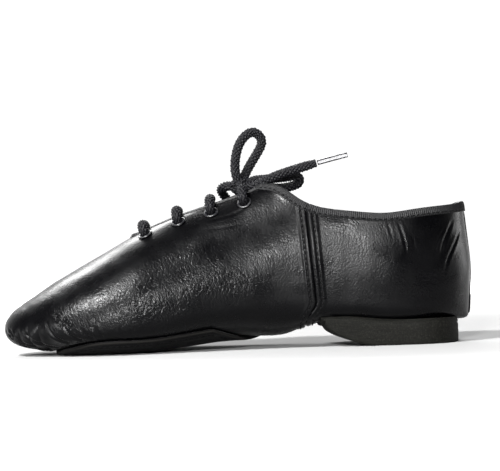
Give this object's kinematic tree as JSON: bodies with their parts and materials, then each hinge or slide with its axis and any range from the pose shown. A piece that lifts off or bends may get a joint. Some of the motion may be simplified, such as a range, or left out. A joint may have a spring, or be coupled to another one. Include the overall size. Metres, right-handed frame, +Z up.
{
  "type": "jazz shoe",
  "caption": "Laced low-cut jazz dance shoe, right foot: soft hollow leather upper, split sole with suede forefoot patch and low rubber heel.",
  "frame": {"origin": "on the floor, under the middle of the shoe's length and of its ball width", "axes": "+X from heel to toe, +Y to the inner side of the right foot, +Z up"},
  "size_m": [0.2106, 0.0727, 0.0989],
  "materials": {
    "black_leather": "soft black nappa, satin",
    "black_suede": "black suede, matte",
    "black_rubber": "matte moulded rubber",
    "ribbed_tape": "fine ribbed woven tape",
    "grey_lining": "brushed cloth",
    "black_cord": "braided cord, matte",
    "black_metal": "black enamel, semi-gloss",
    "clear_tip": "smoke-clear film"
  },
  "bodies": {
    "root": {"upper": "black_leather", "forefoot_sole": "black_suede", "heel": "black_rubber", "insole": "grey_lining", "tongue": "black_leather", "collar_binding": "ribbed_tape", "eyelet_inner_1": "black_metal", "eyelet_inner_2": "black_metal", "eyelet_inner_3": "black_metal", "eyelet_inner_4": "black_metal", "eyelet_outer_1": "black_metal", "eyelet_outer_2": "black_metal", "eyelet_outer_3": "black_metal", "eyelet_outer_4": "black_metal", "lace_bar_1": "black_cord", "lace_bar_2": "black_cord", "lace_bar_3": "black_cord", "lace_top_inner": "black_cord", "lace_top_outer": "black_cord", "lace_knot": "black_cord", "lace_loop_up": "black_cord", "lace_loop_side": "black_cord", "lace_end_near": "black_cord", "lace_end_near_tip": "clear_tip", "lace_end_far": "black_cord", "lace_end_far_tip": "clear_tip"}
  },
  "joints": []
}
